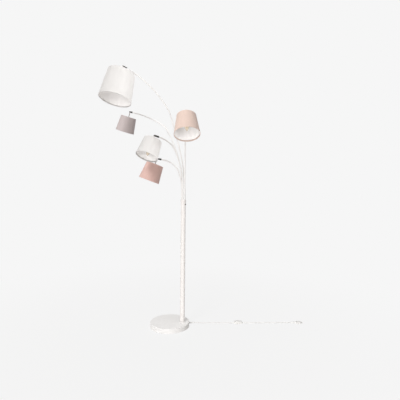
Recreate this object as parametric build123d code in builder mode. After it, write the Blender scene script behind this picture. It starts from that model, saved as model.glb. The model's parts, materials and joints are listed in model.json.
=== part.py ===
from build123d import *
from dataclasses import dataclass
import math
import os

# Tree floor lamp: a weighted round base, a straight pole near the base's right edge, and five
# curved arms that fan out of the pole's top, each with a fabric shade on a tilting joint.
# Millimetres. The origin is the centre of the base's underside, +X right, +Y back, +Z up.
# Headings are in degrees, from -X (left) turning towards -Y (the front).

# ---------------------------------------------------------------- driving dimensions

# Clearances: pieces that are fixed in each other, pieces that turn in each other, loose holes,
# and how far a cutting shape runs past what it cuts
FIT_GAP = 0.02
RUNNING_GAP = 0.05
LOOSE_GAP = 0.1
OVERCUT = 1.0

# Base
BASE_RADIUS = 150.0
BASE_TOP = 36.0
COVER_WALL = 1.5
COVER_BOTTOM = 1.5
COVER_EDGE = 4.0
PAD_RADIUS = 146.0
PAD_TOP = 2.0
PLATE_RADIUS = 147.5
PLATE_TOP = 4.0
PLATE_SCREW_CIRCLE = 118.0
PLATE_SCREWS = 4
PLATE_SCREW_START = 45.0
PLATE_SCREW_RADIUS = 2.0
PLATE_SCREW_LENGTH = 12.0
PLATE_SCREW_HEAD_RADIUS = 3.6
PLATE_SCREW_HEAD_HEIGHT = 1.2
WEIGHT_RADIUS = 137.0
WEIGHT_TOP = 22.0
WEIGHT_EDGE = 1.5
SPACER_RADIUS = 26.0

# Terminal block: where it stands, its body, and its row of posts
BLOCK_X = 20.0
BLOCK_Y = 30.0
BLOCK_LENGTH = 36.0
BLOCK_WIDTH = 18.0
BLOCK_HEIGHT = 6.0
BLOCK_POSTS = 3
BLOCK_POST_SPACING = 12.0
BLOCK_POST_LENGTH = 9.0
BLOCK_POST_WIDTH = 14.0
BLOCK_POST_HEIGHT = 4.0

# Pole
POLE_X = 97.5
POLE_Y = -12.0
POLE_RADIUS = 18.0
POLE_WALL = 1.5
POLE_SEAM = 390.0
POLE_TOP = 953.0
POLE_EDGE = 0.4
NECK_ROOT = 6.0
NECK_LENGTH = 40.0
INSERT_RADIUS = POLE_RADIUS - POLE_WALL - RUNNING_GAP
FOOT_PLUG_HEIGHT = 30.0

# Pole bolt, M10, and the hole for the leads beside it
BOLT_RADIUS = 5.0
BOLT_CLEARANCE = 5.5
BOLT_HEAD_FLATS = 17.0
BOLT_HEAD_HEIGHT = 6.4
BOLT_FLANGE_RADIUS = 10.5
BOLT_FLANGE_THICKNESS = 1.6
BOLT_POCKET_RADIUS = 13.0
BOLT_POCKET_TOP = 13.0
BOLT_REACH = 24.0
LEAD_HOLE_RADIUS = 3.5
LEAD_HOLE_OFFSET = 10.5

# Hub that holds the arms, and the screw that locks it in the pole
HUB_RADIUS = 20.0
HUB_TOP = 978.0
HUB_EDGE = 1.6
HUB_SPIGOT = 40.0
HUB_SPIGOT_BORE = 13.5
RING_RADIUS = 12.0
SEAT_FLOOR = 957.0
SEAT_LEAD_RADIUS = 2.2
SEAT_LEAD_INSET = 0.85
LOCK_HEIGHT = 941.0
LOCK_ANGLE = 25.0
LOCK_RADIUS = 2.0
LOCK_HEAD_RADIUS = 4.2
LOCK_HEAD_LENGTH = 4.0
LOCK_HEAD_EDGE = 0.5
LOCK_SOCKET_FLATS = 3.0
LOCK_SOCKET_DEPTH = 2.2

# Arms
ARM_RADIUS = 5.0
ARM_WALL = 1.0

# Joint at the end of each arm
SLEEVE_RADIUS = 6.5
SLEEVE_EDGE = 0.8
SLEEVE_GRIP = 20.0
SLEEVE_LEAD_RADIUS = 2.5
PIVOT_REACH = 14.0
SLEEVE_NOSE = 6.0
FORK_DEPTH = 12.0
FORK_GAP = 8.2
TILT_PIN_RADIUS = 2.0
TILT_HEAD_RADIUS = 4.0
TILT_HEAD_THICKNESS = 2.5
CHEEK_FACE = 5.6
CHEEK_FLAT_RADIUS = 4.3
EYE_RADIUS = 5.5
EYE_WIDTH = 8.0
STEM_RADIUS = 3.6
STEM_BORE = 2.0
STEM_BORE_START = 12.0
STEM_CROSS_HOLE = 1.5

# Lampholder, shade carrier and candle lamp, measured down from the shade's top plane
HOLDER_TOP = 4.0
HOLDER_RADIUS = 13.5
HOLDER_LENGTH = 48.0
HOLDER_EDGE = 1.5
HOLDER_FLANGE_RADIUS = 17.5
HOLDER_FLANGE_TOP = 13.0
HOLDER_FLANGE_THICKNESS = 3.0
STEM_SOCKET = 8.0
CAP_RADIUS = 7.0
CAP_TOP = 30.0
CAP_LENGTH = 24.0
CAP_ROOM = 2.0
CAP_GAP = 0.5
GLASS_RADIUS = 17.5
GLASS_WIDEST = 82.0
GLASS_NECK_RADIUS = 10.85
GLASS_NECK = 108.0
GLASS_TIP = 124.0
GLASS_WALL = 1.0
WIRE_RADIUS = 1.25
WIRE_SINK = 0.2
CARRIER_RING_WIDTH = 4.0
CARRIER_THICKNESS = 2.0
CARRIER_DROP = 2.5
CARRIER_COLLAR_GAP = 0.3
SPOKES = 3
FIRST_SPOKE = 30.0
SHADE_WALL = 1.2

# Cord and the boot that it leaves the base through
CORD_RADIUS = 3.5
CORD_HEADING = 1.28
BOOT_ANGLE = 14.0
BOOT_HEIGHT = 11.0
BOOT_FLANGE_RADIUS = 6.4
BOOT_FLANGE_THICKNESS = 3.0
BOOT_ROOT_RADIUS = 5.2
BOOT_ROOT_END = 152.0
BOOT_TIP_RADIUS = 4.2
BOOT_END = 180.0

# The cord's route: its straight runs out of the boot and into the plug, the corners between them
# and the switch, and the share of the shorter run beside it that each corner's arc takes up
BOOT_RUN_LENGTH = 20.0
PLUG_RUN_LENGTH = 17.0
BASE_CORNERS = [(220.5, 53.6, 7.3), (252.0, 56.2, CORD_RADIUS)]
PLUG_CORNERS = [(918.0, 71.2, CORD_RADIUS), (943.0, 71.7, 5.9)]
CORNER_SHARE = 0.45

# In-line foot switch
SWITCH_X = 535.7
SWITCH_Y = 62.6
SWITCH_LENGTH = 62.0
SWITCH_WIDTH = 28.0
SWITCH_HEIGHT = 18.0
SWITCH_CORNER = 6.0
SWITCH_EDGE = 4.0
BUTTON_LENGTH = 26.0
BUTTON_WIDTH = 16.0
BUTTON_CORNER = 3.0
BUTTON_EDGE = 1.5
BUTTON_GAP = 0.3
BUTTON_TOP = 21.0
BUTTON_BOTTOM = 10.5
WELL_FLOOR = 7.0

# Flat plug with two round pins
PLUG_X = 978.0
PLUG_Y = 72.5
PLUG_WIDTH = 35.3
PLUG_HEIGHT = 13.7
PLUG_CORNER = 5.85
PLUG_LENGTH = 33.0
PLUG_BOOT_LENGTH = 20.0
PLUG_BOOT_RADIUS = 4.5
PIN_RADIUS = 2.0
PIN_LENGTH = 19.0
PIN_SPACING = 18.6


@dataclass
class Shade:
    """A tapered drum: the radii of its opening and its top, and its height along its axis."""

    opening_radius: float
    top_radius: float
    height: float


LARGE = Shade(123.0, 104.0, 218.0)
MEDIUM = Shade(91.0, 69.0, 148.0)
SMALL = Shade(80.5, 66.0, 131.0)


@dataclass
class Lamp:
    """One arm with its head. Bends are (radius, degrees); all of them turn outwards."""

    name: str
    seat: float  # where the arm stands in the hub's ring, as a heading
    heading: float  # where the arm leans
    leg_top: float  # height at which the straight leg ends
    lean: tuple  # the gentle bend above the leg
    straight: float  # the straight run after it
    elbow: tuple  # the tighter bend
    arch: tuple  # the long flat bend to the end
    end_run: float  # the straight end that the sleeve grips
    shade: Shade
    shade_heading: float  # where the opening is tipped to
    shade_tilt: float  # how far it is tipped from straight down
    stem_length: float  # from the tilt pin to the shade's top plane


LAMPS = [
    Lamp("pink", 0, 0.0, 1070, (230, 17.5), 50, (130, 47), (240, 16), 22, SMALL, -2.0, 20.5, 46),
    Lamp("white", 72, 37.0, 1060, (590, 28.5), 5, (140, 33), (258, 19.5), 22, SMALL, 48.5, 23.8, 42),
    Lamp("grey", -66, -33.5, 1010, (916.24, 33.49), 36.78, (100, 24.95), (1498.02, 14.56), 22, SMALL, -31.0, 20.3, 46),
    Lamp("beige", 144, 94.3, 1100, (1200, 10), 176, (110, 50), (380, 12), 22, MEDIUM, 99.0, 22.0, 46),
    Lamp("large", -150, 1.5, 1016, (1441.54, 15.38), 238.61, (120, 13.76), (837.5, 29.87), 50, LARGE, 40.0, 13.8, 60),
]

UP = Vector(0, 0, 1)


def towards(heading):
    angle = math.radians(heading)
    return Vector(-math.cos(angle), -math.sin(angle), 0)


def tipped(heading, tilt):
    """The direction straight down, tipped by tilt degrees towards a heading."""
    angle = math.radians(tilt)
    return towards(heading) * math.sin(angle) - UP * math.cos(angle)


os.makedirs("parts", exist_ok=True)


def save(piece, name):
    piece.part.label = name
    export_step(piece.part, f"parts/{name}.step")


pole_foot = Plane(origin=(POLE_X, POLE_Y, 0))

# ---------------------------------------------------------------- base

# A thin felt pad, the only piece that touches the floor under the base.
with BuildPart() as base_pad:
    with BuildSketch():
        Circle(PAD_RADIUS)
    extrude(amount=PAD_TOP)
save(base_pad, "base_pad")

screw_circle = PolarLocations(PLATE_SCREW_CIRCLE, PLATE_SCREWS, start_angle=PLATE_SCREW_START)

# The sheet that closes the base from below, screwed to the weight.
with BuildPart() as base_plate:
    with BuildSketch(Plane.XY.offset(PAD_TOP)):
        Circle(PLATE_RADIUS)
    extrude(amount=PLATE_TOP - PAD_TOP)
    with BuildSketch(Plane.XY.offset(PAD_TOP)):
        with screw_circle:
            Circle(PLATE_SCREW_HEAD_RADIUS + LOOSE_GAP)
    extrude(amount=PLATE_SCREW_HEAD_HEIGHT, mode=Mode.SUBTRACT)
    with BuildSketch(Plane.XY.offset(PAD_TOP)):
        with screw_circle:
            Circle(PLATE_SCREW_RADIUS + LOOSE_GAP)
    extrude(amount=PLATE_TOP - PAD_TOP, mode=Mode.SUBTRACT)
save(base_plate, "base_plate")

# Four screws, heads sunk into the plate.
with BuildPart() as plate_screws:
    with BuildSketch(Plane.XY.offset(PAD_TOP)):
        with screw_circle:
            Circle(PLATE_SCREW_HEAD_RADIUS)
    extrude(amount=PLATE_SCREW_HEAD_HEIGHT)
    with BuildSketch(Plane.XY.offset(PAD_TOP)):
        with screw_circle:
            Circle(PLATE_SCREW_RADIUS)
    extrude(amount=PLATE_SCREW_LENGTH)
save(plate_screws, "plate_screws")

# The iron disc that keeps the lamp standing, with a pocket below for the pole's bolt.
with BuildPart() as base_weight:
    with BuildSketch(Plane.XY.offset(PLATE_TOP)):
        Circle(WEIGHT_RADIUS)
    extrude(amount=WEIGHT_TOP - PLATE_TOP)
    chamfer(base_weight.edges().filter_by(GeomType.CIRCLE), WEIGHT_EDGE)
    with BuildSketch(pole_foot.offset(PLATE_TOP)):
        Circle(BOLT_POCKET_RADIUS)
    extrude(amount=BOLT_POCKET_TOP - PLATE_TOP, mode=Mode.SUBTRACT)
    with BuildSketch(pole_foot.offset(PLATE_TOP)):
        Circle(BOLT_CLEARANCE)
    extrude(amount=WEIGHT_TOP - PLATE_TOP, mode=Mode.SUBTRACT)
    with BuildSketch(Plane.XY.offset(PAD_TOP)):
        with screw_circle:
            Circle(PLATE_SCREW_RADIUS + LOOSE_GAP)
    extrude(amount=PLATE_SCREW_LENGTH + OVERCUT, mode=Mode.SUBTRACT)
save(base_weight, "base_weight")

# A collar that carries the pole's clamping force from the cover down to the weight.
with BuildPart() as pole_spacer:
    with BuildSketch(pole_foot.offset(WEIGHT_TOP)):
        Circle(SPACER_RADIUS)
        Circle(BOLT_CLEARANCE, mode=Mode.SUBTRACT)
        with Locations((-LEAD_HOLE_OFFSET, 0)):
            Circle(LEAD_HOLE_RADIUS, mode=Mode.SUBTRACT)
    extrude(amount=BASE_TOP - COVER_WALL - WEIGHT_TOP)
save(pole_spacer, "pole_spacer")

# Connector block where the five leads meet the mains cord, on the weight under the cover.
with BuildPart() as terminal_block:
    with BuildSketch(Plane(origin=(BLOCK_X, BLOCK_Y, WEIGHT_TOP))):
        Rectangle(BLOCK_LENGTH, BLOCK_WIDTH)
    extrude(amount=BLOCK_HEIGHT)
    with BuildSketch(Plane(origin=(BLOCK_X, BLOCK_Y, WEIGHT_TOP + BLOCK_HEIGHT))):
        with GridLocations(BLOCK_POST_SPACING, 0, BLOCK_POSTS, 1):
            Rectangle(BLOCK_POST_LENGTH, BLOCK_POST_WIDTH)
    extrude(amount=BLOCK_POST_HEIGHT)
save(terminal_block, "terminal_block")

boot_plane = Plane(origin=(0, 0, BOOT_HEIGHT), z_dir=Vector(1, 0, 0).rotate(Axis.Z, BOOT_ANGLE))
cover_inside = BASE_RADIUS - COVER_WALL

# The white cover: one spun shell with a soft top edge, open underneath.
with BuildPart() as base_cover:
    with BuildSketch(Plane.XY.offset(COVER_BOTTOM)):
        Circle(BASE_RADIUS)
    extrude(amount=BASE_TOP - COVER_BOTTOM)
    fillet(base_cover.edges().group_by(Axis.Z)[-1], COVER_EDGE)
    offset(amount=-COVER_WALL, openings=base_cover.faces().sort_by(Axis.Z)[0])
    with BuildSketch(pole_foot.offset(BASE_TOP - COVER_WALL)):
        Circle(BOLT_CLEARANCE)
        with Locations((-LEAD_HOLE_OFFSET, 0)):
            Circle(LEAD_HOLE_RADIUS)
    extrude(amount=COVER_WALL, mode=Mode.SUBTRACT)
    with BuildSketch(boot_plane.offset(cover_inside - OVERCUT)):
        Circle(BOOT_ROOT_RADIUS + LOOSE_GAP)
    extrude(amount=COVER_WALL + 2 * OVERCUT, mode=Mode.SUBTRACT)
save(base_cover, "base_cover")

# ---------------------------------------------------------------- pole

# The M10 flange bolt, head in the weight's pocket, shank up into the pole's foot.
flange_bottom = BOLT_POCKET_TOP - BOLT_FLANGE_THICKNESS
with BuildPart() as pole_bolt:
    with BuildSketch(pole_foot.offset(flange_bottom - BOLT_HEAD_HEIGHT)):
        RegularPolygon(BOLT_HEAD_FLATS / 2, 6, major_radius=False)
    extrude(amount=BOLT_HEAD_HEIGHT)
    with BuildSketch(pole_foot.offset(flange_bottom)):
        Circle(BOLT_FLANGE_RADIUS)
    extrude(amount=BOLT_FLANGE_THICKNESS)
    with BuildSketch(pole_foot.offset(flange_bottom)):
        Circle(BOLT_RADIUS)
    extrude(amount=BASE_TOP + BOLT_REACH - flange_bottom)
save(pole_bolt, "pole_bolt")

# A plug pressed into the pole's foot, tapped for the bolt, with a hole for the leads.
with BuildPart() as pole_foot_plug:
    with BuildSketch(pole_foot.offset(BASE_TOP)):
        Circle(INSERT_RADIUS)
        Circle(BOLT_RADIUS + FIT_GAP, mode=Mode.SUBTRACT)
        with Locations((-LEAD_HOLE_OFFSET, 0)):
            Circle(LEAD_HOLE_RADIUS, mode=Mode.SUBTRACT)
    extrude(amount=FOOT_PLUG_HEIGHT)
save(pole_foot_plug, "pole_foot_plug")

# The lower tube, with a necked end that the upper tube slides over.
with BuildPart() as pole_lower:
    with BuildSketch(pole_foot.offset(BASE_TOP)):
        Circle(POLE_RADIUS)
        Circle(POLE_RADIUS - POLE_WALL, mode=Mode.SUBTRACT)
    extrude(amount=POLE_SEAM - BASE_TOP)
    chamfer(pole_lower.edges().group_by(Axis.Z)[-1].sort_by(SortBy.RADIUS)[-1], POLE_EDGE)
    # The neck's root is thick enough to join the two walls.
    with BuildSketch(pole_foot.offset(POLE_SEAM - NECK_ROOT)):
        Circle(POLE_RADIUS - POLE_WALL / 2)
        Circle(INSERT_RADIUS - POLE_WALL, mode=Mode.SUBTRACT)
    extrude(amount=NECK_ROOT - POLE_EDGE)
    with BuildSketch(pole_foot.offset(POLE_SEAM - NECK_ROOT)):
        Circle(INSERT_RADIUS)
        Circle(INSERT_RADIUS - POLE_WALL, mode=Mode.SUBTRACT)
    extrude(amount=NECK_ROOT + NECK_LENGTH)
save(pole_lower, "pole_lower")

# The lock screw's axis, near the pole's top, turned to the front of the right side.
lock_plane = Plane(
    origin=(POLE_X, POLE_Y, LOCK_HEIGHT),
    z_dir=Vector(1, 0, 0).rotate(Axis.Z, -LOCK_ANGLE),
)

# The upper tube, chamfered where it meets the lower one.
with BuildPart() as pole_upper:
    with BuildSketch(pole_foot.offset(POLE_SEAM)):
        Circle(POLE_RADIUS)
        Circle(POLE_RADIUS - POLE_WALL, mode=Mode.SUBTRACT)
    extrude(amount=POLE_TOP - POLE_SEAM)
    chamfer(pole_upper.edges().group_by(Axis.Z)[0].sort_by(SortBy.RADIUS)[-1], POLE_EDGE)
    with BuildSketch(lock_plane):
        Circle(LOCK_RADIUS + FIT_GAP)
    extrude(amount=POLE_RADIUS + OVERCUT, mode=Mode.SUBTRACT)
save(pole_upper, "pole_upper")

# The socket screw that keeps the hub from turning in the pole.
with BuildPart() as hub_lock_screw:
    with BuildSketch(lock_plane.offset(HUB_SPIGOT_BORE)):
        Circle(LOCK_RADIUS)
    extrude(amount=POLE_RADIUS - HUB_SPIGOT_BORE)
    with BuildSketch(lock_plane.offset(POLE_RADIUS)):
        Circle(LOCK_HEAD_RADIUS)
    extrude(amount=LOCK_HEAD_LENGTH)
    lock_axis = Axis(lock_plane.origin, lock_plane.z_dir)
    chamfer(hub_lock_screw.faces().sort_by(lock_axis)[-1].edges(), LOCK_HEAD_EDGE)
    with BuildSketch(lock_plane.offset(POLE_RADIUS + LOCK_HEAD_LENGTH)):
        RegularPolygon(LOCK_SOCKET_FLATS / 2, 6, major_radius=False)
    extrude(amount=-LOCK_SOCKET_DEPTH, mode=Mode.SUBTRACT)
save(hub_lock_screw, "hub_lock_screw")

# ---------------------------------------------------------------- hub

seat_points = [towards(lamp.seat) * RING_RADIUS for lamp in LAMPS]

# The turned collar on the pole's top, with five seats that the arms stand and turn in.
with BuildPart() as arm_hub:
    with BuildSketch(pole_foot.offset(POLE_TOP - HUB_SPIGOT)):
        Circle(INSERT_RADIUS)
    extrude(amount=HUB_SPIGOT)
    with BuildSketch(pole_foot.offset(POLE_TOP)):
        Circle(HUB_RADIUS)
    extrude(amount=HUB_TOP - POLE_TOP)
    chamfer(arm_hub.edges().group_by(Axis.Z)[-1], HUB_EDGE)
    with BuildSketch(pole_foot.offset(POLE_TOP - HUB_SPIGOT)):
        Circle(HUB_SPIGOT_BORE)
    extrude(amount=HUB_SPIGOT, mode=Mode.SUBTRACT)
    with BuildSketch(pole_foot.offset(SEAT_FLOOR)):
        with Locations(seat_points):
            Circle(ARM_RADIUS + RUNNING_GAP)
    extrude(amount=HUB_TOP - SEAT_FLOOR, mode=Mode.SUBTRACT)
    # Each seat's floor is pierced for its lead, a little inward of the arm.
    with BuildSketch(pole_foot.offset(POLE_TOP)):
        with Locations([point * SEAT_LEAD_INSET for point in seat_points]):
            Circle(SEAT_LEAD_RADIUS)
    extrude(amount=SEAT_FLOOR - POLE_TOP, mode=Mode.SUBTRACT)
    # A tapped hole in the spigot takes the lock screw.
    with BuildSketch(lock_plane):
        Circle(LOCK_RADIUS + FIT_GAP)
    extrude(amount=POLE_RADIUS, mode=Mode.SUBTRACT)
save(arm_hub, "arm_hub")

# ---------------------------------------------------------------- arms and heads


def arm_path(lamp):
    """The arm's centreline: a straight leg out of its seat, then three bends towards its heading."""
    with BuildLine() as run:
        leg = Line((0, 0), (0, lamp.leg_top - SEAT_FLOOR))
        lean = JernArc(leg @ 1, leg % 1, lamp.lean[0], -lamp.lean[1])
        straight = Line(lean @ 1, (lean @ 1) + (lean % 1) * lamp.straight)
        elbow = JernArc(straight @ 1, straight % 1, lamp.elbow[0], -lamp.elbow[1])
        arch = JernArc(elbow @ 1, elbow % 1, lamp.arch[0], -lamp.arch[1])
        Line(arch @ 1, (arch @ 1) + (arch % 1) * lamp.end_run)
    seat = Vector(POLE_X, POLE_Y, SEAT_FLOOR) + towards(lamp.seat) * RING_RADIUS
    lean_plane = Plane(origin=seat, x_dir=towards(lamp.heading), z_dir=towards(lamp.heading).cross(UP))
    return lean_plane.from_local_coords(run.wires()[0])


for lamp in LAMPS:
    shade = lamp.shade
    path = arm_path(lamp)
    arm_end = path @ 1
    along = path % 1
    down = tipped(lamp.shade_heading, lamp.shade_tilt)
    pin_axis = along.cross(down).normalized()
    pivot = arm_end + along * PIVOT_REACH
    end_plane = Plane(origin=arm_end, x_dir=pin_axis, z_dir=along)
    pin_plane = Plane(origin=pivot, x_dir=along, z_dir=pin_axis)
    # The head's own plane looks down the shade from the pivot; its profile plane holds (radius, depth).
    head_plane = Plane(origin=pivot, x_dir=pin_axis, z_dir=down)
    profile_plane = Plane(origin=pivot, x_dir=pin_axis, z_dir=pin_axis.cross(down))
    head_axis = Axis(pivot, down)
    top = lamp.stem_length
    opening = top + shade.height

    # The bent steel tube, open inside for the lead.
    with BuildPart() as arm:
        with BuildSketch(Plane(origin=path @ 0, z_dir=path % 0)):
            Circle(ARM_RADIUS)
            Circle(ARM_RADIUS - ARM_WALL, mode=Mode.SUBTRACT)
        sweep(path=path)
    save(arm, f"{lamp.name}_arm")

    # The dark sleeve on the arm's end, forked for the stem's eye.
    with BuildPart() as sleeve:
        with BuildSketch(end_plane.offset(-SLEEVE_GRIP)):
            Circle(SLEEVE_RADIUS)
        extrude(amount=SLEEVE_GRIP + PIVOT_REACH + SLEEVE_NOSE)
        chamfer(sleeve.edges().filter_by(GeomType.CIRCLE), SLEEVE_EDGE)
        with BuildSketch(end_plane.offset(-SLEEVE_GRIP)):
            Circle(ARM_RADIUS + FIT_GAP)
        extrude(amount=SLEEVE_GRIP, mode=Mode.SUBTRACT)
        with BuildSketch(end_plane):
            Circle(SLEEVE_LEAD_RADIUS)
        extrude(amount=PIVOT_REACH, mode=Mode.SUBTRACT)
        with BuildSketch(pin_plane):
            with Locations(((SLEEVE_NOSE + OVERCUT - FORK_DEPTH) / 2, 0)):
                Rectangle(FORK_DEPTH + SLEEVE_NOSE + OVERCUT, 2 * (SLEEVE_RADIUS + OVERCUT))
        extrude(amount=FORK_GAP / 2, both=True, mode=Mode.SUBTRACT)
        with BuildSketch(pin_plane):
            Circle(TILT_PIN_RADIUS + FIT_GAP)
        extrude(amount=SLEEVE_RADIUS + OVERCUT, both=True, mode=Mode.SUBTRACT)
        # Flats on both cheeks, for the screw's head and nut.
        for side in (1, -1):
            with BuildSketch(pin_plane.offset(side * CHEEK_FACE)):
                Circle(CHEEK_FLAT_RADIUS)
            extrude(amount=side * SLEEVE_RADIUS, mode=Mode.SUBTRACT)
    save(sleeve, f"{lamp.name}_sleeve")

    # The screw that the head tilts on, with a round head and nut.
    with BuildPart() as tilt_screw:
        with BuildSketch(pin_plane):
            Circle(TILT_PIN_RADIUS)
        extrude(amount=CHEEK_FACE, both=True)
        for side in (1, -1):
            with BuildSketch(pin_plane.offset(side * CHEEK_FACE)):
                Circle(TILT_HEAD_RADIUS)
            extrude(amount=side * TILT_HEAD_THICKNESS)
    save(tilt_screw, f"{lamp.name}_tilt_screw")

    # The stem: an eye on the screw and a rod down to the lampholder, drilled for the lead,
    # which goes in by a cross hole under the eye.
    stem_end = top + HOLDER_TOP + STEM_SOCKET
    with BuildPart() as stem:
        with BuildSketch(head_plane):
            Circle(STEM_RADIUS)
        extrude(amount=stem_end)
        with BuildSketch(pin_plane):
            Circle(EYE_RADIUS)
        extrude(amount=EYE_WIDTH / 2, both=True)
        with BuildSketch(pin_plane):
            Circle(TILT_PIN_RADIUS + RUNNING_GAP)
        extrude(amount=EYE_WIDTH, both=True, mode=Mode.SUBTRACT)
        with BuildSketch(head_plane.offset(STEM_BORE_START)):
            Circle(STEM_BORE)
        extrude(amount=stem_end - STEM_BORE_START, mode=Mode.SUBTRACT)
        cross_hole = pivot + down * (STEM_BORE_START + STEM_BORE)
        with BuildSketch(Plane(origin=cross_hole, x_dir=down, z_dir=pin_axis)):
            Circle(STEM_CROSS_HOLE)
        extrude(amount=STEM_RADIUS + OVERCUT, mode=Mode.SUBTRACT)
    save(stem, f"{lamp.name}_stem")

    # The lampholder: a cap with a socket for the stem, a flange under the carrier, and a lamp bore.
    holder_top = top + HOLDER_TOP
    bore_top = top + CAP_TOP - CAP_ROOM
    with BuildPart() as holder:
        with BuildSketch(head_plane.offset(holder_top)):
            Circle(HOLDER_RADIUS)
        extrude(amount=HOLDER_LENGTH)
        chamfer(holder.edges().filter_by(GeomType.CIRCLE), HOLDER_EDGE)
        with BuildSketch(head_plane.offset(top + HOLDER_FLANGE_TOP)):
            Circle(HOLDER_FLANGE_RADIUS)
        extrude(amount=HOLDER_FLANGE_THICKNESS)
        with BuildSketch(head_plane.offset(holder_top)):
            Circle(STEM_RADIUS + FIT_GAP)
        extrude(amount=STEM_SOCKET, mode=Mode.SUBTRACT)
        with BuildSketch(head_plane.offset(bore_top)):
            Circle(CAP_RADIUS + CAP_GAP)
        extrude(amount=holder_top + HOLDER_LENGTH - bore_top, mode=Mode.SUBTRACT)
    save(holder, f"{lamp.name}_holder")

    # The fabric drum: one thin tapered wall, open at both ends.
    with BuildPart() as drum:
        with BuildSketch(profile_plane):
            with BuildLine():
                Polyline(
                    (shade.top_radius, top),
                    (shade.opening_radius, opening),
                    (shade.opening_radius - SHADE_WALL, opening),
                    (shade.top_radius - SHADE_WALL, top),
                    close=True,
                )
            make_face()
        revolve(axis=head_axis)
    save(drum, f"{lamp.name}_shade")

    # The wire carrier: a ring inside the drum's top edge, spokes, and a collar over the holder.
    ring_radius = shade.top_radius - SHADE_WALL - FIT_GAP
    collar_top = top + HOLDER_FLANGE_TOP - CARRIER_THICKNESS
    wire_depth = top + HOLDER_FLANGE_TOP - WIRE_RADIUS - WIRE_SINK
    spoke_start = Vector(HOLDER_FLANGE_RADIUS - 1, 0, wire_depth)
    ring_middle = Vector(ring_radius - CARRIER_RING_WIDTH / 2, 0, top + CARRIER_DROP + CARRIER_THICKNESS / 2)
    with BuildPart() as carrier:
        with BuildSketch(head_plane.offset(top + CARRIER_DROP)):
            Circle(ring_radius)
            Circle(ring_radius - CARRIER_RING_WIDTH, mode=Mode.SUBTRACT)
        extrude(amount=CARRIER_THICKNESS)
        with BuildSketch(head_plane.offset(collar_top)):
            Circle(HOLDER_FLANGE_RADIUS)
            Circle(HOLDER_RADIUS + CARRIER_COLLAR_GAP, mode=Mode.SUBTRACT)
        extrude(amount=CARRIER_THICKNESS)
        for k in range(SPOKES):
            turn = FIRST_SPOKE + k * 360 / SPOKES
            start = head_plane.from_local_coords(spoke_start.rotate(Axis.Z, turn))
            end = head_plane.from_local_coords(ring_middle.rotate(Axis.Z, turn))
            with BuildSketch(Plane(origin=start, z_dir=end - start)):
                Circle(WIRE_RADIUS)
            extrude(amount=(end - start).length)
    save(carrier, f"{lamp.name}_carrier")

    # The candle lamp: a screw cap and a thin glass that swells and runs out to a point.
    cap_top = top + CAP_TOP
    cap_bottom = cap_top + CAP_LENGTH
    with BuildPart() as bulb:
        with BuildSketch(profile_plane):
            for skin, mode in ((0, Mode.ADD), (GLASS_WALL, Mode.SUBTRACT)):
                axis_top = (0, cap_top + skin * 2)
                axis_tip = (0, top + GLASS_TIP - skin * 2)
                with BuildLine():
                    cap_line = Polyline(
                        axis_top,
                        (CAP_RADIUS - skin, cap_top + skin * 2),
                        (CAP_RADIUS - skin, cap_bottom),
                    )
                    swell = ThreePointArc(
                        cap_line @ 1,
                        (GLASS_RADIUS - skin, top + GLASS_WIDEST),
                        (GLASS_NECK_RADIUS - skin, top + GLASS_NECK),
                    )
                    Line(swell @ 1, axis_tip)
                    Line(axis_tip, axis_top)
                make_face(mode=mode)
        revolve(axis=head_axis)
    save(bulb, f"{lamp.name}_bulb")

# ---------------------------------------------------------------- cord

# The white rubber boot: a flange inside the cover, then a taper around the cord.
flange_start = cover_inside - BOOT_FLANGE_THICKNESS
with BuildPart() as strain_relief:
    with BuildSketch(boot_plane.offset(flange_start - OVERCUT)):
        Circle(BOOT_FLANGE_RADIUS)
    extrude(amount=BOOT_FLANGE_THICKNESS)
    with BuildSketch(boot_plane.offset(flange_start)):
        Circle(BOOT_ROOT_RADIUS)
    extrude(amount=BOOT_ROOT_END - flange_start)
    with BuildSketch(boot_plane.offset(BOOT_ROOT_END)):
        Circle(BOOT_ROOT_RADIUS)
    with BuildSketch(boot_plane.offset(BOOT_END)):
        Circle(BOOT_TIP_RADIUS)
    loft()
save(strain_relief, "strain_relief")

# The cord's route on the floor, point by point: out of the boot, down, and straight to the switch,
# then straight on and up into the plug.
cord_way = Vector(1, 0, 0).rotate(Axis.Z, CORD_HEADING)
switch_plane = Plane(origin=(SWITCH_X, SWITCH_Y, 0), x_dir=cord_way, z_dir=UP)
switch_entry = switch_plane.from_local_coords((-SWITCH_LENGTH / 2, 0, CORD_RADIUS))
switch_exit = switch_plane.from_local_coords((SWITCH_LENGTH / 2, 0, CORD_RADIUS))
plug_plane = Plane(origin=(PLUG_X, PLUG_Y, PLUG_HEIGHT / 2), x_dir=cord_way, z_dir=UP)
plug_entry = plug_plane.origin

BOOT_TIP = boot_plane.from_local_coords((0, 0, BOOT_END))
BOOT_RUN = boot_plane.from_local_coords((0, 0, BOOT_END + BOOT_RUN_LENGTH))
PLUG_RUN = plug_plane.from_local_coords((-PLUG_RUN_LENGTH, 0, 0))

BASE_ROUTE = [BOOT_TIP, BOOT_RUN, *BASE_CORNERS, switch_entry]
PLUG_ROUTE = [switch_exit, *PLUG_CORNERS, PLUG_RUN, plug_entry]


def bend_radii(route):
    """Each corner's arc, as large as its two runs allow."""
    points = [Vector(point) for point in route]
    radii = []
    for before, corner, after in zip(points, points[1:], points[2:]):
        shorter = min((corner - before).length, (after - corner).length)
        half_turn = math.radians((corner - before).get_angle(after - corner)) / 2
        radii.append(CORNER_SHARE * shorter / math.tan(half_turn))
    return radii


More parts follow.
